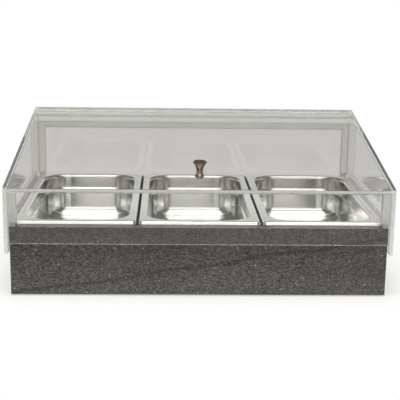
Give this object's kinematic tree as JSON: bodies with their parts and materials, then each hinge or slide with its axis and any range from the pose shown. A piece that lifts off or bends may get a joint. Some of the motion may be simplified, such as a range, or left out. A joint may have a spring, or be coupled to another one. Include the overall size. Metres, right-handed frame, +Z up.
{
  "type": "gastronorm cooling box",
  "caption": "Low laminate box with cold packs inside, metal food pans hung in its top by their rims, and a clear sloping hood with a hinged lid and a turned knob.",
  "frame": {"origin": "centre of the footprint, on the surface that the feet stand on", "axes": "+X to the right along the width, the front faces -Y, +Z up"},
  "size_m": [0.554, 0.364, 0.2249],
  "materials": {
    "laminate": "dark stone-effect laminate, semi-gloss",
    "tongue_wood": "bare beech",
    "stainless": "polished stainless steel",
    "screw_steel": "bright steel",
    "foot_rubber": "matte rubber",
    "tray_plastic": "white polystyrene",
    "pack_plastic": "pale blue polyethylene filled with gel",
    "cap_plastic": "blue polyethylene",
    "clear_acrylic": "clear acrylic with polished edges",
    "frosted_acrylic": "acrylic bar with sawn, frosted faces",
    "clear_hinge": "clear moulded hinge",
    "soft_pad": "clear soft silicone",
    "knob_bronze": "dark antique bronze, polished"
  },
  "bodies": {
    "box": {"front_wall": "laminate", "rear_wall": "laminate", "left_wall": "laminate", "right_wall": "laminate", "corner_tongues": "tongue_wood", "floor_board": "laminate", "floor_screws": "screw_steel", "feet": "foot_rubber", "drip_tray": "tray_plastic", "cold_pack_left": "pack_plastic", "cold_pack_right": "pack_plastic", "filler_cap_left": "cap_plastic", "filler_cap_right": "cap_plastic"},
    "hood": {"hood_side_left": "clear_acrylic", "hood_side_right": "clear_acrylic", "hood_front": "clear_acrylic", "hood_back": "clear_acrylic", "hood_top_strip": "clear_acrylic", "hood_post_front_left": "frosted_acrylic", "hood_post_front_right": "frosted_acrylic", "hood_post_rear_left": "frosted_acrylic", "hood_post_rear_right": "frosted_acrylic", "hood_cross_bar": "frosted_acrylic", "hood_pads": "soft_pad", "hinge_fixed_leaf": "clear_hinge", "hinge_pin": "clear_hinge"},
    "lid": {"lid": "clear_acrylic", "hinge_moving_leaf": "clear_hinge", "knob": "knob_bronze", "knob_washer": "screw_steel", "knob_screw": "screw_steel"},
    "pan_left": {"pan_left": "stainless"},
    "pan_middle": {"pan_middle": "stainless"},
    "pan_right": {"pan_right": "stainless"}
  },
  "joints": [
    {"name": "hood_lift", "type": "slide", "parent": "box", "child": "hood", "axis": [0, 0, 1], "range_m": [0, 0.06]},
    {"name": "lid_hinge", "type": "hinge", "parent": "hood", "child": "lid", "pos_m": [0, 0.15614, 0.2218], "axis": [-1, 0, 0], "range_deg": [0, 180]},
    {"name": "pan_left_lift", "type": "slide", "parent": "box", "child": "pan_left", "axis": [0, 0, 1], "range_m": [0, 0.045]},
    {"name": "pan_middle_lift", "type": "slide", "parent": "box", "child": "pan_middle", "axis": [0, 0, 1], "range_m": [0, 0.045]},
    {"name": "pan_right_lift", "type": "slide", "parent": "box", "child": "pan_right", "axis": [0, 0, 1], "range_m": [0, 0.045]}
  ]
}
